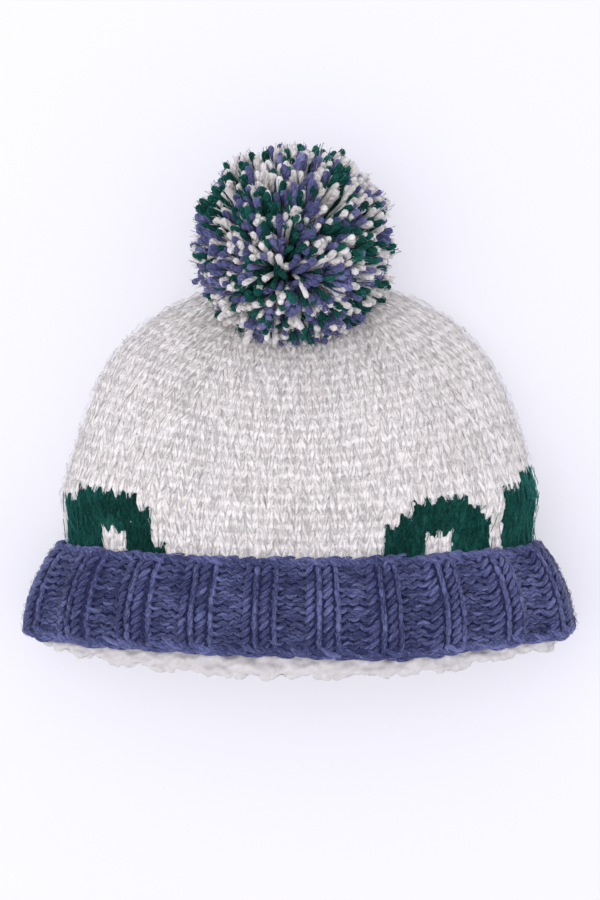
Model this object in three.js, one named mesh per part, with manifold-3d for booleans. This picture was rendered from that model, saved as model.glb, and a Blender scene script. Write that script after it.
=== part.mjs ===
// A knitted bobble hat lying on its back: crown, ribbed cuff, fleece lining and yarn pompom.
// Millimetres, +Z up, +Y from the mouth to the pompom. The hat rests on the plane z = 0.
// Heights along the hat are counted from the cuff's lower edge, before the whole is centred.
import * as THREE from 'three';
import { mergeVertices } from 'three/addons/utils/BufferGeometryUtils.js';
import Module from 'manifold-3d';

// Driving dimensions
const CROWN_WALL = 4.5;
const LINING_WALL = 6;
const CUFF_WALL = 5.5;
const CUFF_HEIGHT = 40;
const LINING_SHOWS = 11.5;
const LINING_FLARE = 4.5;
const POMPOM_RADIUS = 46;
const POMPOM_HEAD = 40.5;
const GAP = 0.4;

// Knit and form
const RIBS = 20;
const RIB_DEPTH = 2.8;
const RIB_START = 0.482;
const FOLD_HEIGHT = 0.42;
const UPPER_ROUNDNESS = 2.3;
const UNDER_ROUNDNESS = 4;
const MOUTH_BOW = 5.5;
const LINING_BOW = 7;
const EDGE_SOFTNESS = 3;
const THINNEST_HOLLOW = 0.15;

// Facets
const AROUND = 3 * RIBS;
const AROUND_CUFF = 6 * RIBS;

// The crown's outer face, a row for each section from the mouth to the closed top
const SECTIONS = [
  { y: 4, half: 118.5, under: 5, over: 69 },
  { y: 14, half: 118, under: 5, over: 71 },
  { y: 26, half: 113.5, under: 5, over: 72 },
  { y: 39, half: 106.5, under: 5, over: 72 },
  { y: 50, half: 106, under: 3.5, over: 72 },
  { y: 65, half: 107.3, under: 0, over: 72 },
  { y: 83, half: 102.8, under: -1, over: 70.5 },
  { y: 102, half: 97.3, under: -1, over: 66 },
  { y: 120, half: 90.8, under: -1, over: 58.5 },
  { y: 135, half: 82, under: -0.5, over: 49.5 },
  { y: 147, half: 70.5, under: 1, over: 41 },
  { y: 156, half: 56, under: 4, over: 34 },
  { y: 163, half: 38, under: 8, over: 27.5 },
  { y: 166, half: 21, under: 12, over: 23 },
  { y: 167, half: 0, under: 17, over: 17 },
];

// Soft hollows in the upper face, each along a line from one point to another
const DENTS = [
  { fromX: -41, fromY: 139, toX: -42, toY: 77, width: 14, depth: 2.4 },
  { fromX: 55, fromY: 133, toX: 76, toY: 93, width: 14, depth: 2.2 },
];

// Locks of the pompom, fused to its head
const LOCKS = { count: 57, root: 33, rootRadius: 7.6, tipRadius: 5.4, sides: 5, uneven: 1.6, tilt: 0.1 };

const POMPOM_CENTRE = new THREE.Vector3(-2.7, 179.5, POMPOM_RADIUS - 1);
const GOLDEN_ANGLE = Math.PI * (3 - Math.sqrt(5));

const CROWN_LENGTH = SECTIONS.at(-1).y;
const WIDEST = Math.max(...SECTIONS.map((row) => row.half));
const profileOf = (column) => new THREE.SplineCurve(SECTIONS.map((row) => new THREE.Vector2(row.y, row[column])));
const PROFILES = { half: profileOf('half'), under: profileOf('under'), over: profileOf('over') };

const wasm = await Module();
wasm.setup();

// One round of the hat laid flat: a low loop with a flat underside, from the back's centre round by +X
class FlatLoop extends THREE.Curve {
  constructor(half, under, over) {
    super();
    this.half = half;
    this.under = under;
    this.over = over;
    this.fold = THREE.MathUtils.lerp(under, over, FOLD_HEIGHT);
  }

  getPoint(t, target = new THREE.Vector3()) {
    const angle = 2 * Math.PI * t - Math.PI / 2;
    const upper = Math.sin(angle) >= 0;
    const power = 2 / (upper ? UPPER_ROUNDNESS : UNDER_ROUNDNESS);
    const across = Math.sign(Math.cos(angle)) * Math.abs(Math.cos(angle)) ** power;
    const rise = Math.abs(Math.sin(angle)) ** power;
    const end = upper ? this.over : this.under;
    return target.set(this.half * across, 0, this.fold + (end - this.fold) * rise);
  }
}

// The round at a share of the way from mouth to top, grown by an offset from the crown's outer face
function roundAt(share, offset, count) {
  const { x: y, y: half } = PROFILES.half.getPoint(share);
  const under = PROFILES.under.getPoint(share).y;
  const over = PROFILES.over.getPoint(share).y;
  const middle = (over + under) / 2;
  const depth = (over - under) / 2;
  const grown = depth * Math.max(THINNEST_HOLLOW, 1 + offset / (depth + EDGE_SOFTNESS));
  const wide = Math.max(0, half) * (1 + offset / WIDEST);
  const loop = new FlatLoop(wide, middle - grown, middle + grown);
  const points = loop.getSpacedPoints(count).slice(0, count);
  const along = y * (1 + offset / CROWN_LENGTH);
  return points.map((point) => settle(point.setY(along + bowAt(point.x, wide, along)), loop.fold));
}

// The mouth's sides lie a little further up the hat than its middle
function bowAt(x, half, y) {
  const share = half > 0 ? Math.min(1, Math.abs(x) / half) : 0;
  return MOUTH_BOW * share ** 2 * (1 - THREE.MathUtils.smoothstep(y, CUFF_HEIGHT, CROWN_LENGTH));
}

// Presses the soft hollows into the upper face and flattens the underside on the floor
function settle(point, fold) {
  const facing = THREE.MathUtils.smoothstep(point.z, fold, fold + CUFF_WALL);
  for (const dent of DENTS) {
    const line = new THREE.Line3(
      new THREE.Vector3(dent.fromX, dent.fromY, 0),
      new THREE.Vector3(dent.toX, dent.toY, 0),
    );
    const flat = new THREE.Vector3(point.x, point.y, 0);
    const away = line.closestPointToPoint(flat, true, new THREE.Vector3()).distanceTo(flat);
    point.z -= facing * dent.depth * Math.exp(-((away / dent.width) ** 2));
  }
  point.z = Math.max(0, point.z);
  return point;
}

// The share of the way from mouth to top at which the outer face reaches a height
function shareAtHeight(y) {
  let low = 0;
  let high = 1;
  for (let step = 0; step < 40; step += 1) {
    const middle = (low + high) / 2;
    if (PROFILES.half.getPoint(middle).x < y) low = middle;
    else high = middle;
  }
  return (low + high) / 2;
}

// A lathe's grid carries the rings: one column of points to each step of the lathe
function latheOfRings(rings, around) {
  const spine = rings.map((ring, index) => new THREE.Vector2(1, index));
  const geometry = new THREE.LatheGeometry(spine, around);
  const position = geometry.getAttribute('position');
  for (let column = 0; column <= around; column += 1) {
    rings.forEach((ring, row) => {
      const point = ring[(around - column) % around];
      position.setXYZ(column * rings.length + row, point.x, point.y, point.z);
    });
  }
  return closedGeometry(geometry);
}

// Keeps positions only, merges shared corners and drops triangles that have no area
function closedGeometry(geometry) {
  geometry.deleteAttribute('normal');
  geometry.deleteAttribute('uv');
  const merged = mergeVertices(geometry, 1e-3);
  const corners = merged.getIndex().array;
  const kept = [];
  for (let at = 0; at < corners.length; at += 3) {
    const [a, b, c] = corners.slice(at, at + 3);
    if (a !== b && b !== c && c !== a) kept.push(a, b, c);
  }
  merged.setIndex(kept);
  return merged;
}

function solidOf(geometry) {
  return new wasm.Manifold(new wasm.Mesh({
    numProp: 3,
    vertProperties: Float32Array.from(geometry.getAttribute('position').array),
    triVerts: Uint32Array.from(geometry.getIndex().array),
  }));
}

function geometryOf(solid) {
  const mesh = solid.getMesh();
  const geometry = new THREE.BufferGeometry();
  geometry.setAttribute('position', new THREE.BufferAttribute(mesh.vertProperties, mesh.numProp));
  geometry.setIndex(new THREE.BufferAttribute(mesh.triVerts, 1));
  return geometry;
}

// Rings of one face of the wall, from the mouth to the closed top
function faceRings(offset) {
  return SECTIONS.map((_, row) => roundAt(row / (SECTIONS.length - 1), offset, AROUND));
}

// A wall closed at the top: up the outer face and down the inner one
function crownGeometry() {
  const outer = faceRings(0);
  const inner = faceRings(-CROWN_WALL).reverse();
  return latheOfRings([...outer, ...inner, outer[0]], AROUND);
}

// The lining's rolled edge: a row for each round, with its depth in the wall and its reach past the crown
const LINING_EDGE = [
  { depth: 1, reach: 0.25 },
  { depth: 0.72, reach: 0.02 },
  { depth: 0.4, reach: 0.02 },
  { depth: 0.08, reach: 0.3 },
  { depth: 0.02, reach: 0.62 },
];

function liningGeometry() {
  const outerOffset = -CROWN_WALL - GAP;
  const outer = faceRings(outerOffset);
  const inner = faceRings(outerOffset - LINING_WALL).filter((_, row) => row % 2 === 0).reverse();
  const edge = LINING_EDGE.map((row) => liningEdgeRound(row, outerOffset));
  return latheOfRings([...outer, ...inner, ...edge, outer[0]], AROUND);
}

function liningEdgeRound({ depth, reach }, outerOffset) {
  const tip = -LINING_SHOWS;
  const drop = (SECTIONS[0].y - tip) * (1 - reach);
  const offset = outerOffset - LINING_WALL * depth + LINING_FLARE * (1 - reach);
  const ring = roundAt(0, offset, AROUND);
  const half = Math.max(...ring.map((point) => point.x));
  const lift = LINING_BOW * (1 - reach);
  return ring.map((point) => point.setY(point.y - drop + lift * (point.x / half) ** 2));
}

// The cuff's closed section: a row for each round, with its height, its depth in the wall and its share of rib.
// The inner rows keep the heights of the crown's own sections, so the two faces run side by side.
const CUFF_EDGE = [
  { y: 0, depth: 0.35, rib: 0.2 },
  { y: 1, depth: 0.75, rib: 0.5 },
  { y: 6, depth: 1, rib: 1 },
  { y: 20, depth: 1, rib: 1 },
  { y: 35, depth: 0.94, rib: 0.9 },
  { y: CUFF_HEIGHT - 0.5, depth: 0.5, rib: 0.3 },
  { y: CUFF_HEIGHT - 2, depth: 0, rib: 0 },
  { y: SECTIONS[2].y, depth: 0, rib: 0 },
  { y: SECTIONS[1].y, depth: 0, rib: 0 },
  { y: SECTIONS[0].y - 1, depth: 0, rib: 0 },
];

function cuffGeometry() {
  const rings = CUFF_EDGE.map(cuffRound);
  return latheOfRings([...rings, rings[0]], AROUND_CUFF);
}

// Ribs rise and fall between two rings, the full wall and the wall less a rib's depth
function cuffRound({ y, depth, rib }) {
  const share = shareAtHeight(y);
  const drop = Math.max(0, SECTIONS[0].y - y);
  const ringAt = (offset) => roundAt(share, offset, AROUND_CUFF);
  const crest = ringAt(GAP + CUFF_WALL * depth);
  const valley = ringAt(GAP + Math.max(0, CUFF_WALL * depth - RIB_DEPTH * rib));
  return crest.map((point, index) => {
    const turn = 2 * Math.PI * RIBS * (index / AROUND_CUFF - RIB_START);
    const raised = 0.5 + 0.5 * Math.cos(turn);
    const mixed = valley[index].clone().lerp(point, THREE.MathUtils.smoothstep(raised, 0.1, 0.9));
    return mixed.setY(mixed.y - drop);
  });
}

// The crown's outer face grown by the gap, closed across the mouth and filled
function filledCrown() {
  const rings = faceRings(GAP);
  const mouthCentre = new THREE.Vector3(0, SECTIONS[0].y, SECTIONS[0].over / 2);
  return latheOfRings([rings[0].map(() => mouthCentre), ...rings], AROUND);
}

// One lock of yarn, pointing away from the pompom's centre
function lockSolid(index) {
  const rise = 1 - (2 * index + 1) / LOCKS.count;
  const turn = GOLDEN_ANGLE * index;
  const flat = Math.sqrt(1 - rise * rise);
  const wobble = new THREE.Vector3(Math.sin(5 * index), Math.sin(7 * index + 1), Math.sin(3 * index + 2));
  const direction = new THREE.Vector3(flat * Math.cos(turn), flat * Math.sin(turn), rise)
    .addScaledVector(wobble, LOCKS.tilt)
    .normalize();
  const reach = POMPOM_RADIUS - LOCKS.uneven * (0.5 + 0.5 * Math.sin(11 * index));
  const length = reach - LOCKS.root;
  const lock = new THREE.CylinderGeometry(LOCKS.tipRadius, LOCKS.rootRadius, length, LOCKS.sides);
  lock.translate(0, LOCKS.root + length / 2, 0);
  lock.applyQuaternion(new THREE.Quaternion().setFromUnitVectors(new THREE.Vector3(0, 1, 0), direction));
  lock.translate(POMPOM_CENTRE.x, POMPOM_CENTRE.y, POMPOM_CENTRE.z);
  return solidOf(closedGeometry(lock));
}

// The pompom is pressed against the crown and flattened on the floor
function pompomGeometry() {
  const head = new THREE.IcosahedronGeometry(POMPOM_HEAD, 3);
  head.translate(POMPOM_CENTRE.x, POMPOM_CENTRE.y, POMPOM_CENTRE.z);
  let ball = solidOf(closedGeometry(head));
  for (let index = 0; index < LOCKS.count; index += 1) ball = ball.add(lockSolid(index));
  const seat = solidOf(filledCrown());
  const floor = new THREE.BoxGeometry(4 * POMPOM_RADIUS, 4 * POMPOM_RADIUS, POMPOM_RADIUS);
  floor.translate(POMPOM_CENTRE.x, POMPOM_CENTRE.y, -POMPOM_RADIUS / 2);
  return geometryOf(ball.subtract(seat).subtract(solidOf(closedGeometry(floor))));
}

function piece(name, geometry, color, roughness) {
  const material = new THREE.MeshStandardMaterial({ color, roughness, metalness: 0 });
  const mesh = new THREE.Mesh(geometry, material);
  mesh.name = name;
  return mesh;
}

const hat = new THREE.Group();
hat.add(piece('crown', crownGeometry(), 0xd8d3d4, 0.95));
hat.add(piece('cuff', cuffGeometry(), 0x4a4f78, 0.95));
hat.add(piece('lining', liningGeometry(), 0xdcd8d8, 1));
hat.add(piece('pompom', pompomGeometry(), 0x5c6771, 0.95));

// The origin is at the middle of the hat's box, on the floor
const middle = new THREE.Box3().setFromObject(hat).getCenter(new THREE.Vector3());
hat.position.set(-middle.x, -middle.y, 0);
hat.updateMatrixWorld(true);

export default hat;
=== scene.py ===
"""A knitted bobble hat lying on its back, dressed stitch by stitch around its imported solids.

The hat's form is worked out in millimetres in the hat's own frame, where heights count from the
cuff's lower edge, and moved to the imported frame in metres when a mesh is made.
"""

import logging
import math
from dataclasses import dataclass, fields, replace
from enum import Enum

import bpy
import numpy as np
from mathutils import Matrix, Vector, noise


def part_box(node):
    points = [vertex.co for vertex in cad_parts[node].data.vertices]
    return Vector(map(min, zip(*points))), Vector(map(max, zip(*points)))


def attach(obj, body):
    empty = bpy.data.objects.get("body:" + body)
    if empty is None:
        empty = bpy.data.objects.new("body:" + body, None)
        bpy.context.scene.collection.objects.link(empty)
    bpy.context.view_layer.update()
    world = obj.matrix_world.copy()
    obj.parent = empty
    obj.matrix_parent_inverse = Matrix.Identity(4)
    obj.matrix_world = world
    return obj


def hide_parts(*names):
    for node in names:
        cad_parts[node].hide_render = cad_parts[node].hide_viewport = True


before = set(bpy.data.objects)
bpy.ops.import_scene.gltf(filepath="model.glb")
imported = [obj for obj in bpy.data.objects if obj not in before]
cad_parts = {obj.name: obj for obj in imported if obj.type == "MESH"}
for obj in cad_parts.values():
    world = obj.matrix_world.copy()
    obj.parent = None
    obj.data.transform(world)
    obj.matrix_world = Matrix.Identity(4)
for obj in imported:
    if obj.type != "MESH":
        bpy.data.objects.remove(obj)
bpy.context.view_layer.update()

MM = 0.001
BODY = "root"
LOG = logging.getLogger("bobble_hat")
Array = np.ndarray
Material = bpy.types.Material
Random = np.random.Generator


class Yarn(Enum):
    """The wools of the hat, named by colour."""

    OATMEAL = "oatmeal"
    BLUE = "blue"
    GREEN = "green"
    CREAM = "cream"
    VIOLET = "violet"


class Ground(Enum):
    """The matted faces that the yarn lies on, the cuff's and the pompom's darkened as painted shade, and the
    fleece.
    """

    CROWN = "crown"
    CUFF = "cuff"
    POMPOM = "pompom"
    FLEECE = "fleece"


@dataclass(frozen=True)
class Section:
    """One section of the crown's outer face: height, half width, underside and upper side."""

    y: float
    half: float
    under: float
    over: float


@dataclass(frozen=True)
class Dent:
    """A soft hollow in the upper face, along a line between two points."""

    from_x: float
    from_y: float
    to_x: float
    to_y: float
    width: float
    depth: float


@dataclass(frozen=True)
class ArchRow:
    """One row of a knitted arch: stitches from its middle to the inner side, outer side and hole."""

    inner: int
    outer: int
    hole: int


@dataclass(frozen=True)
class Arch:
    """A plain green arch: its middle round the hat in stitches, its outward side and its rows upward."""

    middle: float
    outward: int
    rows: tuple[ArchRow, ...]


SECTIONS = (
    Section(4, 118.5, 5, 69),
    Section(14, 118, 5, 71),
    Section(26, 113.5, 5, 72),
    Section(39, 106.5, 5, 72),
    Section(50, 106, 3.5, 72),
    Section(65, 107.3, 0, 72),
    Section(83, 102.8, -1, 70.5),
    Section(102, 97.3, -1, 66),
    Section(120, 90.8, -1, 58.5),
    Section(135, 82, -0.5, 49.5),
    Section(147, 70.5, 1, 41),
    Section(156, 56, 4, 34),
    Section(163, 38, 8, 27.5),
    Section(166, 21, 12, 23),
    Section(167, 0, 17, 17),
)
DENTS = (
    Dent(-41, 139, -42, 77, 14, 2.4),
    Dent(55, 133, 76, 93, 14, 2.2),
)
LEFT_ROWS = ((4, 5, 1), (4, 5, 1), (3, 5, 1), (3, 5, 0), (3, 5, 0), (2, 3, 0))
RIGHT_ROWS = ((4, 4, 1), (4, 4, 1), (4, 4, 1), (4, 4, 0), (3, 3, 0), (2, 2, 0))
ARCHES = tuple(
    Arch(middle, outward, tuple(ArchRow(*row) for row in rows))
    for middle, outward, rows in (
        (53.85, 1, LEFT_ROWS),
        (29.85, -1, RIGHT_ROWS),
        (19.85, 1, ((4, 5, 1), *LEFT_ROWS)),
    )
)


def smoothstep(value: Array | float, low: float, high: float) -> Array | float:
    """Eases numbers from 0 at low to 1 at high."""
    share = np.clip((value - low) / (high - low), 0.0, 1.0)
    return share * share * (3.0 - 2.0 * share)


def unit(vectors: Array) -> Array:
    """Scales vectors along the last axis to length one."""
    length = np.linalg.norm(vectors, axis=-1, keepdims=True)
    return vectors / np.maximum(length, 1e-9)


def resample(points: Array, count: int, closed: bool) -> Array:
    """Spreads points evenly by length along a line.

    Args:
        points: (n, 3) points in order.
        count: how many points to return.
        closed: whether the line runs back to its start.

    Returns:
        (count, 3) points, without the repeated start where the line is closed.
    """
    line = np.vstack([points, points[:1]]) if closed else points
    steps = np.linalg.norm(np.diff(line, axis=0), axis=1)
    reached = np.concatenate([[0.0], np.cumsum(steps)])
    wanted = np.linspace(0.0, reached[-1], count, endpoint=not closed)
    return np.stack([np.interp(wanted, reached, line[:, axis]) for axis in range(3)], axis=1)


def even_rows(grid: Array, rows: int) -> Array:
    """Spreads a grid's rows evenly by length, column by column."""
    return np.stack([resample(grid[:, k], rows, closed=False) for k in range(grid.shape[1])], axis=1)


@dataclass(frozen=True)
class HatForm:
    """The shape of the flattened hat, shared by all its layers."""

    sections: tuple[Section, ...] = SECTIONS
    dents: tuple[Dent, ...] = DENTS
    crown_wall: float = 4.5
    lining_wall: float = 6.0
    cuff_wall: float = 5.5
    cuff_height: float = 40.0
    gap: float = 0.4
    ribs: int = 20
    rib_depth: float = 2.8
    rib_start: float = 0.482
    fold_height: float = 0.42
    upper_roundness: float = 2.3
    under_roundness: float = 4.0
    mouth_bow: float = 5.5
    edge_softness: float = 3.0
    thinnest_hollow: float = 0.15

    @property
    def length(self) -> float:
        """Height of the crown's closed top."""
        return self.sections[-1].y

    @property
    def widest(self) -> float:
        """Largest half width of the crown."""
        return max(row.half for row in self.sections)

    @property
    def column_step(self) -> float:
        """Share of the round that one column of the two-by-two rib takes."""
        return 1 / (4 * self.ribs)

    def column(self, name: str, share: Array | float) -> Array:
        """Reads one column of the section table along a smooth curve.

        Args:
            name: the column's field name.
            share: places from 0 at the mouth to 1 at the top.

        Returns:
            The column's value at each place.
        """
        rows = np.array([getattr(row, name) for row in self.sections], float)
        place = np.clip(share, 0.0, 1.0) * (len(rows) - 1)
        at = np.minimum(place.astype(int), len(rows) - 2)
        t = place - at
        before, low = rows[np.maximum(at - 1, 0)], rows[at]
        high, after = rows[at + 1], rows[np.minimum(at + 2, len(rows) - 1)]
        leave, arrive = (high - before) / 2, (after - low) / 2
        cubic = (2 * low - 2 * high + leave + arrive) * t**3
        square = (-3 * low + 3 * high - 2 * leave - arrive) * t**2
        return cubic + square + leave * t + low

    def share_at(self, y: float) -> float:
        """Finds the share of the way from mouth to top at a height."""
        shares = np.linspace(0.0, 1.0, 2001)
        return float(np.interp(y, self.column("y", shares), shares))

    def rounds(self, shares: Array | list[float], offset: float, count: int) -> Array:
        """Makes rounds of the hat, grown by an offset from the crown's outer face.

        Args:
            shares: places from 0 at the mouth to 1 at the top.
            offset: millimetres outward, or inward where negative.
            count: points in a round, from the back's middle by the right side.

        Returns:
            (rounds, count, 3) points in millimetres.
        """
        under, over = self.column("under", shares), self.column("over", shares)
        middle, depth = (over + under) / 2, (over - under) / 2
        grown = depth * np.maximum(self.thinnest_hollow, 1 + offset / (depth + self.edge_softness))
        wide = np.maximum(0.0, self.column("half", shares)) * (1 + offset / self.widest)
        along = self.column("y", shares) * (1 + offset / self.length)
        rows = zip(wide, middle - grown, middle + grown, along)
        return np.stack([self._loop(*row, count) for row in rows])

    def _loop(self, half: float, under: float, over: float, y: float, count: int) -> Array:
        """Makes one low loop with a flat underside.

        Args:
            half: half its width.
            under: its lowest point.
            over: its highest point.
            y: its height from the cuff's lower edge.
            count: points in the loop.

        Returns:
            (count, 3) points in millimetres.
        """
        angle = np.linspace(-0.5 * np.pi, 1.5 * np.pi, 721)
        upper = np.sin(angle) >= 0
        power = 2 / np.where(upper, self.upper_roundness, self.under_roundness)
        across = np.sign(np.cos(angle)) * np.abs(np.cos(angle)) ** power
        rise = np.abs(np.sin(angle)) ** power
        fold = under + (over - under) * self.fold_height
        z = fold + (np.where(upper, over, under) - fold) * rise
        line = np.stack([half * across, np.zeros_like(z), z], axis=1)[:-1]
        points = resample(line, count, closed=True)
        side = np.clip(np.abs(points[:, 0]) / max(half, 1e-6), 0, 1)
        points[:, 1] = y + self.mouth_bow * side**2 * (1 - smoothstep(y, self.cuff_height, self.length))
        return self._settle(points, fold)

    def _settle(self, points: Array, fold: float) -> Array:
        """Presses the soft hollows in and flattens the underside on the floor.

        Args:
            points: (n, 3) points of a loop, which are changed.
            fold: height of the loop's widest line over the floor.

        Returns:
            The same points.
        """
        facing = smoothstep(points[:, 2], fold, fold + self.cuff_wall)
        for dent in self.dents:
            start = np.array([dent.from_x, dent.from_y])
            run = np.array([dent.to_x, dent.to_y]) - start
            share = np.clip((points[:, :2] - start) @ run / (run @ run), 0, 1)
            away = np.linalg.norm(points[:, :2] - start - share[:, None] * run, axis=1)
            points[:, 2] -= facing * dent.depth * np.exp(-((away / dent.width) ** 2))
        points[:, 2] = np.maximum(0.0, points[:, 2])
        return points

    def raised(self, around: Array) -> Array:
        """How far a place round the cuff lies up on a rib, from 0 in a furrow to 1 on a crest."""
        wave = 0.5 + 0.5 * np.cos(2 * np.pi * self.ribs * (around - self.rib_start))
        return smoothstep(wave, 0.1, 0.9)


FORM = HatForm()


class Skin:
    """A face of the hat as a grid of points: rows from the mouth up, columns round by the right."""

    def __init__(self, grid: Array) -> None:
        """Keeps the grid and works out its directions.

        Args:
            grid: (rows, columns, 3) points in millimetres.
        """
        self.points = grid
        up = np.gradient(grid, axis=0)
        across = np.roll(grid, -1, axis=1) - np.roll(grid, 1, axis=1)
        self.normals = unit(np.cross(up, across))
        self.girths = np.linalg.norm(np.diff(grid, axis=1, append=grid[:, :1]), axis=2).sum(axis=1)
        self.height = float(np.linalg.norm(np.diff(grid, axis=0), axis=2).sum(axis=0).mean())

    @classmethod
    def even(cls, grid: Array) -> "Skin":
        """Makes a skin whose rows and columns are spread evenly by length over the cloth."""
        rows, columns = grid.shape[:2]
        return cls(np.stack([resample(row, columns, closed=True) for row in even_rows(grid, rows)]))

    def at(self, up: Array, around: Array) -> tuple[Array, Array]:
        """Reads points and outward normals at places on the skin.

        Args:
            up: shares from 0 at the lowest row to 1 at the highest.
            around: shares of the round, from the back's middle.

        Returns:
            Points and normals, each with one more axis of 3.
        """
        rows, columns = self.points.shape[:2]
        r = np.clip(up, 0, 1) * (rows - 1)
        r0 = np.minimum(r.astype(int), rows - 2)
        c = np.mod(around, 1.0) * columns
        c0 = c.astype(int) % columns
        c1 = (c0 + 1) % columns
        fr, fc = (r - r0)[..., None], (c - np.floor(c))[..., None]

        def mix(values: Array) -> Array:
            """Blends the four nearest values of the grid."""
            low, high = (values[row, c0] * (1 - fc) + values[row, c1] * fc for row in (r0, r0 + 1))
            return low * (1 - fr) + high * fr

        beyond = (up * (rows - 1) - r)[..., None]
        slope = self.points[r0 + 1, c0] - self.points[r0, c0]
        return mix(self.points) + beyond * slope, unit(mix(self.normals))

    def girth_at(self, up: float) -> float:
        """Length round the hat at a share of the height."""
        return float(np.interp(up, np.linspace(0, 1, len(self.girths)), self.girths))


@dataclass
class YarnRun:
    """Pieces of yarn to be swept: paths on a skin with their thickness and tone."""

    paths: Array
    normals: Array
    wide: Array
    deep: Array
    tones: Array

    @staticmethod
    def join(runs: list["YarnRun"]) -> "YarnRun":
        """Joins runs whose paths have the same number of points."""
        names = [field.name for field in fields(YarnRun)]
        return YarnRun(*[np.concatenate([getattr(run, name) for run in runs]) for name in names])

    def where(self, kept: Array) -> "YarnRun":
        """Keeps the pieces that a mask names."""
        return YarnRun(*[getattr(self, field.name)[kept] for field in fields(self)])

    @property
    def sides(self) -> Array:
        """Directions along the face and across each piece of yarn."""
        return unit(np.cross(unit(np.gradient(self.paths, axis=1)), self.normals))


@dataclass(frozen=True)
class Lay:
    """How the yarn of one kind of stitch lies: its thickness, its thin ends and its unevenness."""

    radius: float
    thin_end: float = 0.1
    fullness: float = 0.5
    flatness: float = 1.0
    uneven_lift: float = 0.1
    uneven_size: float = 0.07
    tone: float = 0.5
    uneven_tone: float = 0.12

    def run(self, skin: Skin, up: Array, around: Array, t: Array, lift: Array, rng: Random) -> YarnRun:
        """Lays one piece of yarn along each line of places on a skin.

        Args:
            skin: the face.
            up: shares up the skin along each piece.
            around: (pieces, steps) shares round it.
            t: shares of a piece's length at its steps.
            lift: how far the yarn lies off the skin at each step.
            rng: the source of unevenness.

        Returns:
            The pieces of yarn.
        """
        each = (len(around), 1)
        points, normals = skin.at(np.broadcast_to(up, around.shape), around)
        points = points + normals * (lift + rng.normal(0, self.uneven_lift, each))[..., None]
        swell = np.sin(np.pi * (self.thin_end + (1 - 2 * self.thin_end) * t)) ** self.fullness
        size = self.radius * (1 + rng.normal(0, self.uneven_size, each))
        tones = np.clip(rng.normal(self.tone, self.uneven_tone, len(around)), 0, 1)
        return YarnRun(points, normals, size * swell, self.flatness * size * swell, tones)


@dataclass(frozen=True)
class FreeFibres:
    """Fine loose fibres that lie free over a face, as brushed wool has. Sizes are in millimetres.

    Real wool fibres are about 0.03 mm thick. These are drawn as coarse as they need to be to show.
    """

    count: int
    radius: float
    reach: float
    lift: float
    steps: int = 4

    def over(self, skin: Skin, rng: Random) -> tuple[YarnRun, Array, Array]:
        """Scatters the fibres evenly over a skin.

        Args:
            skin: the face.
            rng: the source of chance.

        Returns:
            The fibres, their shares up the skin and their shares round it.
        """
        rows, count = len(skin.girths), self.count
        up = (rng.choice(rows, count, p=skin.girths / skin.girths.sum()) + rng.random(count)) / rows
        around = rng.random(count)
        points, normals = skin.at(up, around)
        side = unit(np.cross(normals, rng.normal(0, 1, (count, 3))))
        curl = np.cross(normals, side) * rng.normal(0, 0.25 * self.reach, (count, 1))
        length = self.reach * rng.uniform(0.6, 1.4, (count, 1))
        rise = self.reach * rng.uniform(0.15, 0.55, (count, 1)) ** 1.5
        t = np.linspace(0, 1, self.steps)[None, :, None]
        paths = (
            (points + self.lift * normals)[:, None]
            + normals[:, None] * (rise[:, None] * np.sin(0.6 * np.pi * t))
            + (side * length)[:, None] * (t - 0.5)
            + curl[:, None] * np.sin(np.pi * t)
        )
        radius = np.full((count, self.steps), self.radius)
        along = np.broadcast_to(normals[:, None], paths.shape)
        return YarnRun(paths, along, radius, radius, rng.uniform(0.35, 0.95, count)), up, around


@dataclass(frozen=True)
class RidingFibres:
    """Fine fibres that ride on pieces of yarn, as loosely spun wool shows them.

    The spread is how far round the yarn they lie from its outer side, in radians. The wander is how
    far they stray from it, in millimetres.
    """

    each: int
    radius: float
    spread: float
    wander: float
    steps: int = 4

    def along(self, run: YarnRun, rng: Random) -> YarnRun:
        """Lays the fibres along pieces of yarn.

        Args:
            run: the pieces of yarn.
            rng: the source of unevenness.

        Returns:
            The fibres, those of a piece one after another.
        """
        kept = np.round(np.linspace(0, run.paths.shape[1] - 1, self.steps)).astype(int)
        thick = run.wide.max(axis=1)
        sparse = YarnRun(run.paths[:, kept], run.normals[:, kept], run.wide, run.deep, run.tones)
        sparse = sparse.where(np.repeat(np.arange(len(thick)), self.each))
        count, normals = len(sparse.paths), sparse.normals
        angle = rng.uniform(-self.spread, self.spread, (count, 1)) + rng.normal(0, 0.4, (count, self.steps))
        away = np.repeat(thick, self.each)[:, None] * rng.uniform(0.9, 1.2, (count, 1))
        paths = sparse.paths + sparse.sides * (away * np.sin(angle))[..., None]
        paths = paths + normals * (away * np.cos(angle))[..., None]
        paths = paths + rng.normal(0, self.wander, paths.shape)
        radius = self.radius * rng.uniform(0.7, 1.3, (count, 1)) * np.ones(self.steps)
        return YarnRun(paths, normals, radius, radius, rng.uniform(0.3, 0.95, count))


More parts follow.
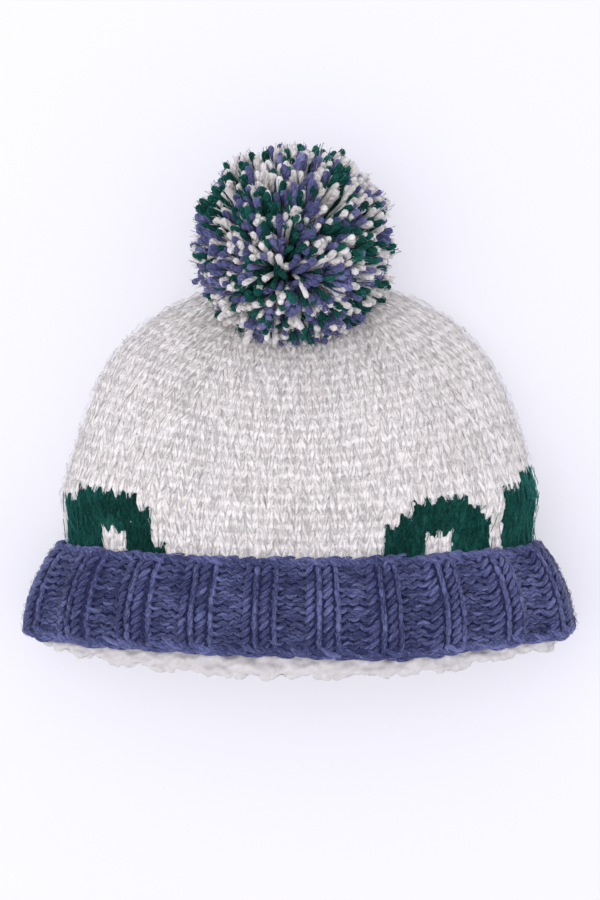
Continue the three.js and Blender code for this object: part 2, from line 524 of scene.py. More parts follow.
class MeshMaker:
    """Turns points in the hat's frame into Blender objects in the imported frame."""

    def __init__(self) -> None:
        """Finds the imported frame's shift from the crown's box."""
        low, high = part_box("crown")
        self.shift = np.array([(low.x + high.x) / 2, high.y - FORM.length * MM, 0.0])
        self.floor_gap = 0.15

    def place(self, points: Array) -> Array:
        """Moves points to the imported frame, flattened where they meet the floor.

        Args:
            points: (n, 3) points in millimetres in the hat's frame.

        Returns:
            (n, 3) points in metres.
        """
        settled = points.copy()
        settled[:, 2] = np.maximum(settled[:, 2], self.floor_gap)
        return settled * MM + self.shift

    def swept(self, name: str, run: YarnRun, corners: int) -> bpy.types.Object:
        """Sweeps yarn pieces into one joined mesh, each with two closed tips.

        Args:
            name: the object's name.
            run: the pieces of yarn.
            corners: corners of a yarn's section.

        Returns:
            The new object, with the attribute "yarn": length in mm, turn and tone.
        """
        count, steps = run.paths.shape[:2]
        side = run.sides
        out = np.cross(side, unit(np.gradient(run.paths, axis=1)))
        turn = (np.arange(corners) + 0.5) / corners
        angle = 2 * np.pi * turn - 0.5 * np.pi
        inner, rings = slice(1, steps - 1), steps - 2
        ring = (
            run.paths[:, inner, None]
            + side[:, inner, None] * (run.wide[:, inner, None] * np.cos(angle))[..., None]
            + out[:, inner, None] * (run.deep[:, inner, None] * np.sin(angle))[..., None]
        )
        own = rings * corners + 2
        ring = ring.reshape(count, rings * corners, 3)
        verts = np.concatenate([run.paths[:, :1], ring, run.paths[:, -1:]], axis=1)
        quads, tips = self._tube_faces(rings, corners)
        start = (np.arange(count) * own)[:, None, None]
        loops = np.concatenate([(quads + start).reshape(-1), (tips + start).reshape(-1)])
        sizes = np.concatenate([np.full(count * len(quads), 4), np.full(count * len(tips), 3)])
        piece = self._mesh(name, verts.reshape(-1, 3), loops, sizes)
        length = np.linalg.norm(np.diff(run.paths, axis=1), axis=2).cumsum(axis=1)
        length = np.concatenate([np.zeros((count, 1)), length], axis=1)
        yarn = np.zeros((count, own, 3))
        yarn[:, 1:-1, 0] = np.repeat(length[:, inner], corners, axis=1)
        yarn[:, -1, 0] = length[:, -1]
        yarn[:, 1:-1, 1] = np.tile(turn, rings)
        yarn[:, (0, -1), 1] = 0.5
        yarn[:, :, 2] = run.tones[:, None]
        layer = piece.data.attributes.new("yarn", "FLOAT_VECTOR", "POINT")
        layer.data.foreach_set("vector", yarn.astype(np.float32).reshape(-1))
        return piece

    @staticmethod
    def _tube_faces(rings: int, corners: int) -> tuple[Array, Array]:
        """Makes the faces of one swept piece.

        Args:
            rings: how many rings it has between its tips.
            corners: corners of a ring.

        Returns:
            Quads between the rings and triangles at the tips, as point numbers.
        """
        ring = 1 + np.arange(rings * corners).reshape(rings, corners)
        beside = np.roll(ring, -1, axis=1)
        quads = np.stack([ring[:-1], ring[1:], beside[1:], beside[:-1]], axis=-1).reshape(-1, 4)
        foot = np.stack([np.zeros_like(ring[0]), ring[0], beside[0]], axis=1)
        head = np.stack([np.full_like(ring[0], 1 + rings * corners), beside[-1], ring[-1]], axis=1)
        return quads, np.concatenate([foot, head])

    def _mesh(self, name: str, verts: Array, loops: Array, sizes: Array) -> bpy.types.Object:
        """Makes a smooth object from flat arrays.

        Args:
            name: the object's name.
            verts: (n, 3) points in millimetres.
            loops: point numbers of the faces' corners, face by face.
            sizes: how many corners each face has.

        Returns:
            The new object.
        """
        mesh = bpy.data.meshes.new(name)
        mesh.vertices.add(len(verts))
        mesh.vertices.foreach_set("co", self.place(verts).astype(np.float32).reshape(-1))
        mesh.loops.add(len(loops))
        mesh.loops.foreach_set("vertex_index", loops.astype(np.int32))
        mesh.polygons.add(len(sizes))
        starts = np.concatenate([[0], np.cumsum(sizes)[:-1]])
        mesh.polygons.foreach_set("loop_start", starts.astype(np.int32))
        mesh.polygons.foreach_set("use_smooth", np.ones(len(sizes), bool))
        mesh.update(calc_edges=True)
        mesh.validate()
        piece = bpy.data.objects.new(name, mesh)
        bpy.context.scene.collection.objects.link(piece)
        return piece

    def shell(self, name: str, grid: Array) -> bpy.types.Object:
        """Shapes a flat grid into a closed wall.

        Args:
            name: the object's name.
            grid: (rows, columns, 3) points in millimetres, columns round the hat. The rows run over
                the whole wall and end where they began, or in a closed top.

        Returns:
            The new object.
        """
        rows, columns = grid.shape[:2]
        bpy.ops.object.select_all(action="DESELECT")
        bpy.ops.mesh.primitive_grid_add(x_subdivisions=columns, y_subdivisions=rows - 1, size=1)
        piece = bpy.context.object
        piece.name = piece.data.name = name
        wrapped = np.concatenate([grid, grid[:, :1]], axis=1)
        piece.data.vertices.foreach_set("co", self.place(wrapped.reshape(-1, 3)).reshape(-1))
        bpy.ops.object.mode_set(mode="EDIT")
        bpy.ops.mesh.select_all(action="SELECT")
        bpy.ops.mesh.remove_doubles(threshold=1e-6)
        bpy.ops.mesh.dissolve_degenerate(threshold=1e-7)
        bpy.ops.mesh.normals_make_consistent(inside=False)
        bpy.ops.object.mode_set(mode="OBJECT")
        bpy.ops.object.shade_smooth()
        return piece


def linear(hex_colour: str) -> tuple[float, float, float, float]:
    """Turns an sRGB hex colour into linear light.

    Args:
        hex_colour: six hex digits after a hash.

    Returns:
        Red, green, blue and alpha.
    """
    parts = [int(hex_colour[i : i + 2], 16) / 255 for i in (1, 3, 5)]
    light = [p / 12.92 if p <= 0.04045 else ((p + 0.055) / 1.055) ** 2.4 for p in parts]
    return (*light, 1.0)


def add_node(
    tree: bpy.types.NodeTree, kind: str, inputs: dict | None = None, **settings: str
) -> bpy.types.Node:
    """Adds a node with its settings and links.

    Args:
        tree: the material's node tree.
        kind: the node's type name, without its prefix.
        inputs: input name or number to a value or an output socket.
        **settings: the node's own properties.

    Returns:
        The new node.
    """
    node = tree.nodes.new("ShaderNode" + kind)
    for name, value in settings.items():
        setattr(node, name, value)
    for name, value in (inputs or {}).items():
        if isinstance(value, bpy.types.NodeSocket):
            tree.links.new(value, node.inputs[name])
        else:
            node.inputs[name].default_value = value
    return node


def empty_material(name: str) -> tuple[Material, bpy.types.NodeTree]:
    """Makes a material with an empty tree.

    Args:
        name: the material's name.

    Returns:
        The material and its node tree.
    """
    material = bpy.data.materials.new(name)
    material.use_nodes = True
    material.node_tree.nodes.clear()
    return material, material.node_tree


def close_material(tree: bpy.types.NodeTree, inputs: dict) -> None:
    """Ends a material's tree with its shader, given the shader's inputs, and its output."""
    shader = add_node(tree, "BsdfPrincipled", inputs)
    add_node(tree, "OutputMaterial", {"Surface": shader.outputs["BSDF"]})


def set_stops(ramp: bpy.types.Node, stops: dict[float, str]) -> None:
    """Gives a ramp its own stops.

    Args:
        ramp: the ramp's node.
        stops: places on the ramp and their hex colours.
    """
    elements = ramp.color_ramp.elements
    for place, colour in stops.items():
        elements.new(place).color = linear(colour)
    elements.remove(elements[0])
    elements.remove(elements[len(elements) - 1])


@dataclass(frozen=True)
class WoolFinish:
    """Spun wool yarn: matt fibres with a faint halo, plies that wind round, tones that wander.

    Lengths and sizes are in millimetres. Depths say how far a pattern moves the tone.
    """

    name: str
    shade: str
    middle: str
    light: str
    ply_pitch: float = 3.2
    plies: int = 3
    ply_depth: float = 0.1
    ply_relief: float = 0.22
    streak_length: float = 2.6
    streaks_round: float = 9.0
    streak_depth: float = 1.1
    streak_relief: float = 2.0
    piece_shift: float = 60.0
    fleck_size: float = 0.7
    fleck_depth: float = 0.6
    patch_size: float = 26.0
    patch_depth: float = 0.9
    sheen: float = 0.35
    scatter: float = 0.5
    scatter_length: float = 1.4

    def build(self) -> Material:
        """Makes the yarn's material.

        Returns:
            A material that reads the pieces' "yarn" attribute.
        """
        material, tree = empty_material(self.name)
        yarn = add_node(tree, "Attribute", attribute_name="yarn").outputs["Vector"]
        length, turn, tone = add_node(tree, "SeparateXYZ", {0: yarn}).outputs

        # Plies wind round the yarn: a groove for each, once a pitch
        pitch = {0: length, 1: 2 * math.pi / self.ply_pitch}
        wound = add_node(tree, "Math", pitch, operation="MULTIPLY").outputs[0]
        grooves = {0: turn, 1: 2 * math.pi * self.plies, 2: wound}
        phase = add_node(tree, "Math", grooves, operation="MULTIPLY_ADD").outputs[0]
        ply = add_node(tree, "Math", {0: phase}, operation="SINE").outputs[0]

        # Fibres run along the yarn as streaks a few millimetres long, different on each piece
        drawn = (1 / self.streak_length, self.streaks_round, self.piece_shift)
        along = add_node(tree, "VectorMath", {0: yarn, 1: drawn}, operation="MULTIPLY").outputs[0]
        streak = add_node(tree, "TexNoise", {"Vector": along, "Scale": 1.0, "Detail": 2.0}).outputs[0]
        place = add_node(tree, "TexCoord").outputs["Object"]
        patch, fleck = (
            add_node(tree, "TexNoise", {"Vector": place, "Scale": 1 / (size * MM), "Detail": 2.0}).outputs[0]
            for size in (self.patch_size, self.fleck_size)
        )

        # The tone of a place is its stitch's own, moved by patches, streaks and flecks, and by the ply
        # grooves as painted shade: darker in the grooves, lighter on the plies' crests
        moves = (
            (patch, self.patch_depth),
            (streak, self.streak_depth),
            (fleck, self.fleck_depth),
            (ply, self.ply_depth),
        )
        for pattern, depth in moves:
            moved = {0: pattern, 1: depth, 2: tone}
            tone = add_node(tree, "Math", moved, operation="MULTIPLY_ADD").outputs[0]
        usual = 0.5 * (self.patch_depth + self.streak_depth + self.fleck_depth)
        level = add_node(tree, "Math", {0: tone, 1: usual}, operation="SUBTRACT").outputs[0]
        ramp = add_node(tree, "ValToRGB", {0: level})
        set_stops(ramp, {0.1: self.shade, 0.5: self.middle, 0.9: self.light})

        raised = {0: streak, 1: self.streak_relief, 2: ply}
        relief = add_node(tree, "Math", raised, operation="MULTIPLY_ADD").outputs[0]
        bump = {"Height": relief, "Strength": 0.6, "Distance": self.ply_relief * MM}
        close_material(tree, {
            "Base Color": ramp.outputs[0],
            "Normal": add_node(tree, "Bump", bump).outputs[0],
            "Roughness": 0.95,
            "Specular IOR Level": 0.15,
            "Sheen Weight": self.sheen,
            "Sheen Roughness": 0.6,
            "Sheen Tint": linear(self.light),
            "Subsurface Weight": self.scatter,
            "Subsurface Radius": (1.0, 0.9, 0.9),
            "Subsurface Scale": self.scatter_length * MM,
        })
        return material


@dataclass(frozen=True)
class FeltFinish:
    """Matted wool or fleece: a soft, matt face with fine grains, in millimetres, and no plies."""

    name: str
    shade: str
    light: str
    grain: float = 1.6
    relief: float = 0.4

    def build(self) -> Material:
        """Makes the material.

        Returns:
            A material whose grains lie in the object's own space.
        """
        material, tree = empty_material(self.name)
        place = add_node(tree, "TexCoord").outputs["Object"]
        grains = {"Vector": place, "Scale": 1 / (self.grain * MM), "Detail": 4.0}
        fibre = add_node(tree, "TexNoise", grains).outputs[0]
        ramp = add_node(tree, "ValToRGB", {0: fibre})
        set_stops(ramp, {0.3: self.shade, 0.7: self.light})
        bump = {"Height": fibre, "Strength": 0.5, "Distance": self.relief * MM}
        close_material(tree, {
            "Base Color": ramp.outputs[0],
            "Normal": add_node(tree, "Bump", bump).outputs[0],
            "Roughness": 1.0,
            "Specular IOR Level": 0.1,
            "Sheen Weight": 0.2,
        })
        return material


@dataclass(frozen=True)
class SheetFinish:
    """Matt white card, lit from below so that shadows on it stay light."""

    name: str = "pale_sheet"
    colour: str = "#B8B7BC"
    glow_colour: str = "#F8F7FF"
    glow: float = 0.45

    def build(self) -> Material:
        """Makes the sheet's material.

        Returns:
            A plain material that glows a little.
        """
        material, tree = empty_material(self.name)
        close_material(tree, {
            "Base Color": linear(self.colour),
            "Emission Color": linear(self.glow_colour),
            "Emission Strength": self.glow,
            "Roughness": 0.9,
            "Specular IOR Level": 0.1,
        })
        return material


WOOLS = {
    # Loosely spun marled wool: pale, soft and almost even
    Yarn.OATMEAL: WoolFinish("oatmeal_wool", "#EEE7E3", "#F8F2EE", "#FAF6F3", streak_depth=0.5, scatter=0.1),
    # Heather wool, carded from light and dark blue fibres: streaks along the yarn
    Yarn.BLUE: WoolFinish("heather_blue_wool", "#2D3154", "#484D75", "#7075A2", streak_depth=1.2),
    # Firmly plied wool in three plain dyes: clear ridges that wind round the yarn
    Yarn.GREEN: WoolFinish("pine_green_wool", "#062C27", "#0E443D", "#226155", ply_relief=0.5),
    Yarn.CREAM: WoolFinish("cream_wool", "#C9C1BD", "#E3DDD9", "#F1EDEA", ply_relief=0.5),
    Yarn.VIOLET: WoolFinish("violet_blue_wool", "#393C60", "#575A86", "#8082AC", ply_relief=0.5),
}
GROUNDS = {
    # Matted wool at the back of the stitches and strands: an even colour in their gaps. The crown's matches
    # its yarn; the cuff's and the pompom's are darker than their yarns, as painted shade in the gaps
    Ground.CROWN: FeltFinish("oatmeal_ground", "#F0E9E5", "#F8F3F0"),
    # The cuff's band is about as dark as its yarn's darkest tone: painted shade between the stitches
    Ground.CUFF: FeltFinish("blue_ground_painted_shade", "#25284A", "#363A60"),
    # The pompom's core is a darker green than its strands: painted shade deep among them
    Ground.POMPOM: FeltFinish("pompom_core_painted_shade", "#10231F", "#1F3A38"),
    # Curled fleece: coarser grains on nubs that the mesh gives it
    Ground.FLEECE: FeltFinish("curled_fleece", "#CAC5C3", "#D8D4D2", grain=2.2),
}


@dataclass
class Layer:
    """A piece of the hat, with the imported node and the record's slot that it stands for."""

    maker: MeshMaker
    wools: dict[Yarn, Material]
    grounds: dict[Ground, Material]
    node: str = ""
    slot: str = ""
    fibre_corners: int = 3

    def dress(self, piece: bpy.types.Object, material: Material) -> None:
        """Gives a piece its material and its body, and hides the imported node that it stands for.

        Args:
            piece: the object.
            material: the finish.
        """
        piece.data.materials.clear()
        piece.data.materials.append(material)
        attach(piece, BODY)
        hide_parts(self.node)
        LOG.info("%s: %d faces", piece.name, len(piece.data.polygons))

    def sweep(self, name: str, run: YarnRun, corners: int, yarn: Yarn) -> None:
        """Sweeps yarn with sections of so many corners and dresses it in its wool."""
        self.dress(self.maker.swept(name, run, corners), self.wools[yarn])


@dataclass
class Crown(Layer):
    """The crown in stocking stitch, with green arches knitted in above the cuff."""

    node: str = "crown"
    slot: str = "oatmeal_knit"
    gores: int = 4
    stitches: int = 80
    first_gore: float = 28.85
    row_height: float = 4.9
    first_row: float = 34.2
    leg_corners: int = 4
    leg: Lay = Lay(0.25, fullness=0.35, flatness=0.9, uneven_lift=0.14, uneven_size=0.06)
    plies: int = 2
    ply_turn: float = 0.6
    ply_away: float = 0.46
    ply_size: float = 0.72
    ply_flatness: float = 0.7
    backing_depth: float = 0.35
    stitch_depth: float = -1.9
    ground_depth: float = -2.0
    riding: RidingFibres = RidingFibres(1, radius=0.16, spread=1.2, wander=0.3)
    free: FreeFibres = FreeFibres(7200, radius=0.1, reach=4.2, lift=1.9)
    stitch_seed: int = 7
    fibre_seed: int = 31

    def build(self) -> None:
        """Builds the ground wall, the stitches and their fibres."""
        self.dress(self.maker.shell("crown_wall", self._wall_grid()), self.grounds[Ground.CROWN])
        skin = self._skin()
        run, green = self._stitches(skin)
        self.sweep("crown_stitches", run.where(~green), self.leg_corners, Yarn.OATMEAL)
        self.sweep("crown_arches", run.where(green), self.leg_corners, Yarn.GREEN)
        self._fuzz(skin, run, green)

    def _fuzz(self, skin: Skin, run: YarnRun, green: Array) -> None:
        """Lays fibres along the stitches in their colours, and free ones over the plain stitches.

        Args:
            skin: the crown's face.
            run: the stitches.
            green: a mask of those knitted in green.
        """
        rng = np.random.default_rng(self.fibre_seed)
        free, up, around = self.free.over(skin, rng)
        rows = (up * skin.height / self.row_height).astype(int)
        # A free fibre is left out where it could reach an arch: to a side or in the row below
        shifts = ((0, 0), (0.7, 0), (-0.7, 0), (0, -1))
        by_arch = [self._in_arch(around * self.stitches + aside, rows + lower) for aside, lower in shifts]
        free = free.where(~np.any(by_arch, axis=0))
        fibres = YarnRun.join([self.riding.along(run, rng), free])
        dark = np.concatenate([np.repeat(green, self.riding.each), np.zeros(len(free.paths), bool)])
        self.sweep("crown_plain_fibres", fibres.where(~dark), self.fibre_corners, Yarn.OATMEAL)
        self.sweep("crown_arch_fibres", fibres.where(dark), self.fibre_corners, Yarn.GREEN)

    def _wall_grid(self) -> Array:
        """Runs up the outer face and down the inner one.

        Returns:
            (rows, columns, 3) points in millimetres.
        """
        shares, around = np.linspace(0, 1, 46), 120
        outer = FORM.rounds(shares, self.ground_depth, around)
        inner = FORM.rounds(shares, -FORM.crown_wall, around)[::-1]
        return np.concatenate([outer, inner, outer[:1]])

    def _skin(self) -> Skin:
        """Makes the face that the stitches lie on, from under the cuff to the closed top."""
        shares = np.linspace(FORM.share_at(self.first_row), 1.0, 150)
        return Skin.even(FORM.rounds(shares, self.stitch_depth, 320))

    def _stitches(self, skin: Skin) -> tuple[YarnRun, Array]:
        """Places the two legs of every stitch, with decreases at the edges of the gores.

        The arches' legs are backed, so that the plain ground can't show through.

        Args:
            skin: the crown's face.

        Returns:
            The yarn pieces and a mask of those knitted in green.
        """
        rows = int(round(skin.height / self.row_height))
        usual = skin.girth_at(0.1) / self.stitches
        rng = np.random.default_rng(self.stitch_seed)
        full = self.stitches // self.gores
        runs, greens = [], []
        before, ease_before = full, float(full)
        for row in range(rows - 1):
            girth = skin.girth_at((row + 0.5) / rows)
            ease = min(full, girth / self.gores / usual + 0.4)
            count = max(2, min(before, 2 * int(round(ease / 2))))
            foot = np.tile(np.arange(before) - 0.5 * (before - 1), self.gores)
            head = np.clip(foot, -0.5 * (count - 1), 0.5 * (count - 1))
            gore = np.repeat(np.arange(self.gores) + 0.5, before) + self.first_gore / full
            low = (gore + self._spread(foot, before, ease_before)) / self.gores
            high = (gore + self._spread(head, count, ease)) / self.gores
            wide = girth / (ease * self.gores)
            green = self._in_arch(low * self.stitches, np.full(len(low), row))
            for hand in (-1, 1):
                legs = self._legs(skin, (row, rows), (low, high), (wide, girth), hand, rng)
                runs += [self._plied(legs, rng), self._backing(legs.where(green))]
                greens += [np.repeat(green, self.plies), np.ones(green.sum(), bool)]
            before, ease_before = count, ease
        return YarnRun.join(runs), np.concatenate(greens)

    @staticmethod
    def _spread(place: Array, count: int, ease: float) -> Array:
        """Turns stitches from a gore's middle to shares of its width, evenly there and out to its edges."""
        edge = np.minimum(1.0, np.abs(place) / (0.5 * count)) ** 3
        return place * ((1 - edge) / ease + edge / count)

    def _legs(
        self, skin: Skin, rows: tuple[int, int], ends: tuple[Array, Array],
        widths: tuple[float, float], hand: int, rng: Random,
    ) -> YarnRun:
        """Places one leg of each stitch in a row.

        Args:
            skin: the crown's face.
            rows: the row's number, and how many rows there are.
            ends: where each stitch's foot and its head stand round the hat.
            widths: a stitch's width in millimetres, and the row's length round.
            hand: -1 for the left leg, 1 for the right.
            rng: the source of unevenness.

        Returns:
            The legs as pieces of yarn.
        """
        (row, height), (low, high), (wide, girth) = rows, ends, widths
        each = (len(low), 1)
        t = np.array([0, 0.1, 0.5, 0.9, 1.0])
        # A leg leans outward as it rises, reaches into the rows below and above, and dips at both ends
        lean = 0.07 + 0.35 * t**0.85
        around = low[:, None] * (1 - t) + high[:, None] * t
        around = around - hand * (lean + rng.normal(0, 0.05, each)) * wide / girth
        up = (row + 0.5 + (-0.62 + 1.72 * t)) / height + rng.normal(0, 0.1, each) / height
        lift = 0.3 * np.sin(np.pi * t) ** 0.8 - 0.3 * (1 - t) ** 3 - 0.25 * t**4
        leg = replace(self.leg, radius=self.leg.radius * wide)
        return leg.run(skin, up, around, t, lift, rng)

    def _backing(self, legs: YarnRun) -> YarnRun:
        """Gives legs of yarn a flat wide strand each to lie on."""
        paths = legs.paths - self.backing_depth * legs.normals
        return replace(legs, paths=paths, wide=1.9 * legs.wide, deep=0.6 * legs.deep)

    def _plied(self, legs: YarnRun, rng: Random) -> YarnRun:
        """Splits each leg into plies that wind round each other.

        Args:
            legs: the whole legs.
            rng: the source of unevenness.

        Returns:
            The plies, those of a leg one after another.
        """
        count, steps = legs.paths.shape[:2]
        split = legs.where(np.repeat(np.arange(count), self.plies))
        start = np.repeat(rng.uniform(0, 2 * np.pi, count), self.plies)
        ply = np.tile(np.arange(self.plies) / self.plies, count)
        wound = 2 * self.ply_turn * np.pi * np.linspace(0, 1, steps)
        turn = (start + 2 * np.pi * ply)[:, None] + wound
        away = self.ply_away * split.wide
        paths = split.paths + split.sides * (away * np.cos(turn))[..., None]
        paths = paths + split.normals * (0.3 * away * np.sin(turn))[..., None]
        tones = split.tones + rng.normal(0, 0.08, count * self.plies)
        size = self.ply_size * split.wide * (1 + rng.normal(0, 0.1, (len(ply), 1)))
        return YarnRun(paths, split.normals, size, self.ply_flatness * size, np.clip(tones, 0, 1))

    def _in_arch(self, place: Array, row: Array) -> Array:
        """Tells which places on the crown belong to an arch.

        Args:
            place: places round the hat, counted in stitches.
            row: their rows, counted from the one just under the cuff's edge.

        Returns:
            A mask of the green places.
        """
        inside = np.zeros(len(place), bool)
        for arch in ARCHES:
            out = arch.outward * (np.mod(place, self.stitches) - arch.middle)
            for number, chart in enumerate(arch.rows):
                reach = (out > -chart.inner) & (out < chart.outer) & (np.abs(out) > chart.hole)
                inside |= reach & (row == number)
        return inside


@dataclass(frozen=True)
class KnitLeg:
    """One leg of a knit stitch in the rib: its foot, lean and reach in stitches, its lift and its lay."""

    foot: float
    lean: float
    reach: float
    lift: float
    lay: Lay


@dataclass(frozen=True)
class EdgeStrand:
    """A strand that binds an edge of the cuff: shares of the cuff's height, then millimetres."""

    height: float
    slope: float
    sag: float
    radius: float
    lift: float


# The left leg slants and the right one stands straight, its lighter tone a painted highlight
KNIT_LEGS = (
    KnitLeg(-0.56, 0.62, 1.6, 0.9, Lay(1.18)),
    KnitLeg(0.38, -0.04, 1.5, 0.6, Lay(1.22, tone=0.66)),
)
PURL_LAY = Lay(
    0.95, thin_end=0.12, fullness=0.4, uneven_lift=0.15, uneven_size=0.12, tone=0.52, uneven_tone=0.16
)
EDGE_STRANDS = (
    EdgeStrand(0.05, 0.04, -0.02, 1.35, 0.2),
    EdgeStrand(0.015, -0.03, -0.02, 1.35, -0.3),
    EdgeStrand(-0.01, 0.02, -0.02, 1.5, -1.5),
    EdgeStrand(0.97, 0.05, 0.0, 1.25, 0.0),
    EdgeStrand(0.995, -0.04, 0.0, 1.35, -0.9),
)


@dataclass
class Cuff(Layer):
    """The turned-up cuff in two-by-two rib, with a braided edge above and below."""

    node: str = "cuff"
    slot: str = "blue_rib"
    rows: int = 12
    knit_columns: tuple[float, float] = (-0.58, 0.58)
    purl_columns: tuple[float, float] = (1.64, 2.36)
    sink: float = 2.0
    droop: float = 3.0
    droop_at: float = 38.0
    droop_width: float = 36.0
    corner: float = 2.2
    corner_height: float = 14.0
    stitch_depth: float = 1.3
    stitch_corners: int = 5
    edge_corners: int = 6
    yarn_steps: int = 7
    riding: RidingFibres = RidingFibres(2, radius=0.14, spread=1.3, wander=0.25)
    free: FreeFibres = FreeFibres(4500, radius=0.08, reach=3.4, lift=1.2)
    knit_seed: int = 11
    purl_seed: int = 13
    edge_seed: int = 17
    fibre_seed: int = 37

    def build(self) -> None:
        """Builds the ground band, the stitches, the edges and the fibres."""
        # The band is darker than the blue yarn: painted shade in the gaps between the stitches
        self.dress(self.maker.shell("cuff_wall", self._wall_grid()), self.grounds[Ground.CUFF])
        skin = self._skin()
        knit, purl = self._knit_run(skin), self._purl_run(skin)
        self.sweep("cuff_knit_stitches", knit, self.stitch_corners, Yarn.BLUE)
        self.sweep("cuff_purl_stitches", purl, self.stitch_corners, Yarn.BLUE)
        self.sweep("cuff_edges", self._edge_run(skin), self.edge_corners, Yarn.BLUE)
        rng = np.random.default_rng(self.fibre_seed)
        free, _, _ = self.free.over(skin, rng)
        riding = self.riding.along(YarnRun.join([knit, purl]), rng)
        self.sweep("cuff_fibres", YarnRun.join([riding, free]), self.fibre_corners, Yarn.BLUE)

    def _round(self, y: float, depth: float, rib: float, count: int) -> Array:
        """Makes one ribbed round of the cuff, drawn out to corners at its lower edge.

        Args:
            y: height over the cuff's lower edge.
            depth: share of the wall's thickness, from its inner face.
            rib: share of the full rib relief.
            count: points in the round.

        Returns:
            (count, 3) points in millimetres.
        """
        share, half_height = FORM.share_at(y), FORM.cuff_height / 2
        full = FORM.cuff_wall * depth
        crest, = FORM.rounds([share], FORM.gap + full, count)
        valley, = FORM.rounds([share], FORM.gap + max(0.0, full - FORM.rib_depth * rib), count)
        raised = FORM.raised(np.arange(count) / count)[:, None]
        line = valley + (crest - valley) * raised
        droop = self.droop * np.exp(-(((line[:, 0] - self.droop_at) / self.droop_width) ** 2))
        fading = smoothstep(half_height - y, 0, half_height)
        line[:, 1] -= max(0.0, FORM.sections[0].y - y) + fading * droop
        low = smoothstep(self.corner_height - y, 0, self.corner_height)
        line[:, 0] += self.corner * low * (line[:, 0] / np.abs(line[:, 0]).max()) ** 5
        return line

    def _wall_grid(self) -> Array:
        """Runs up the outer face, over the lip and down the inner face.

        Returns:
            (rows, columns, 3) points in millimetres.
        """
        less = self.sink / FORM.cuff_wall
        full = 1 - less
        # Each round: height, share of the wall's thickness, share of the rib relief
        outer = [(2.0, 0.55, 0.3), (5, full, 0.9), (12, full, 1), (20, full, 1), (29, full, 1)]
        lip = [(35, 0.92 - less, 0.9), (38, 0.6 - less / 2, 0.4), (38.5, 0.25, 0.1)]
        inner = [(37, 0.02, 0), (26, 0.02, 0), (14, 0.02, 0), (5, 0.02, 0), (2.2, 0.2, 0)]
        rings = [self._round(*ring, 240) for ring in outer + lip + inner]
        return np.stack([*rings, rings[0]])

    def _skin(self) -> Skin:
        """Makes the face that the stitches lie on, rolled in at the lower and upper edges.

        Returns:
            The face, from the lower edge to the upper.
        """
        rings = []
        for y in np.linspace(0.5, FORM.cuff_height, 24):
            roll = 1 - 0.45 * smoothstep(3.5 - y, 0, 3.5) - 0.4 * smoothstep(y - FORM.cuff_height + 6, 0, 7)
            rings.append(self._round(float(y), roll - self.stitch_depth / FORM.cuff_wall, roll, 480))
        return Skin(np.stack(rings))

    @staticmethod
    def _columns(apart: tuple[float, float]) -> Array:
        """Gives the places round the cuff of the two columns that stand so far from each rib's middle."""
        ribs = FORM.rib_start + np.arange(FORM.ribs) / FORM.ribs
        return (ribs[:, None] + FORM.column_step * np.array(apart)).reshape(-1)

    def _knit_run(self, skin: Skin) -> YarnRun:
        """Places the knit legs: a slanting one on the left and a straight one on the right.

        Args:
            skin: the cuff's face.

        Returns:
            The legs as pieces of yarn.
        """
        rng = np.random.default_rng(self.knit_seed)
        t = np.linspace(0, 1, self.yarn_steps)
        columns = self._columns(self.knit_columns)[:, None]
        runs = []
        for row in range(self.rows):
            for leg in KNIT_LEGS:
                # A leg overlaps the rows next to it and lies up in its middle
                lean = leg.foot + leg.lean * t + rng.normal(0, 0.03, columns.shape)
                around = columns - lean * FORM.column_step
                up = (row + 0.5 + leg.reach * (t - 0.5)) / self.rows + rng.normal(0, 0.004, columns.shape)
                lift = leg.lift * np.sin(np.pi * t) ** 0.8 - 0.45
                runs.append(leg.lay.run(skin, up, around, t, lift, rng))
        return YarnRun.join(runs)

    def _purl_run(self, skin: Skin) -> YarnRun:
        """Places the purl bumps: heads that arch up and loops between them that sag.

        Args:
            skin: the cuff's face.

        Returns:
            The bumps as pieces of yarn.
        """
        rng = np.random.default_rng(self.purl_seed)
        t = np.linspace(0, 1, self.yarn_steps)
        step, arch = FORM.column_step, np.sin(np.pi * t)
        heads = self._columns(self.purl_columns)
        first, second = heads[::2], heads[1::2]
        loops = np.concatenate([first + 0.36 * step, first - 0.4 * step, second + 0.4 * step])
        runs = []
        for row in range(self.rows):
            # Each kind of bump: its places, how far it bows upward and where it starts, in rows
            for centres, bow, base in ((heads, 0.5, -0.36), (loops, -0.5, 0.04)):
                each = (len(centres), 1)
                around = centres[:, None] + (t - 0.5) * step + rng.normal(0, 0.05, each) * step
                tilt = rng.normal(0, 0.2, each) * (t - 0.5)
                up = (row + 0.7 + (bow * arch + base) + tilt + rng.normal(0, 0.08, each)) / self.rows
                runs.append(PURL_LAY.run(skin, up, around, t, 0.8 * arch**0.7 - 0.45, rng))
        return YarnRun.join(runs)

    def _edge_run(self, skin: Skin) -> YarnRun:
        """Places the strands that bind the lower and upper edges.

        Args:
            skin: the cuff's face.

        Returns:
            The strands as pieces of yarn, one for each column and layer.
        """
        rng = np.random.default_rng(self.edge_seed)
        t = np.linspace(0, 1, self.yarn_steps)
        step, arch = FORM.column_step, np.sin(np.pi * t)
        columns = FORM.rib_start + (np.arange(4 * FORM.ribs)[:, None] + 0.5) * step
        each = columns.shape
        runs = []
        for strand in EDGE_STRANDS:
            around = columns + (t - 0.5) * 1.7 * step + rng.normal(0, 0.05, each) * step
            up = strand.height + strand.slope * (t - 0.5) * 2 + strand.sag * arch + rng.normal(0, 0.012, each)
            lay = Lay(strand.radius, uneven_size=0.06, tone=0.55, uneven_tone=0.1)
            runs.append(lay.run(skin, up, around, t, strand.lift + (arch**0.8 - 0.4), rng))
        return YarnRun.join(runs)


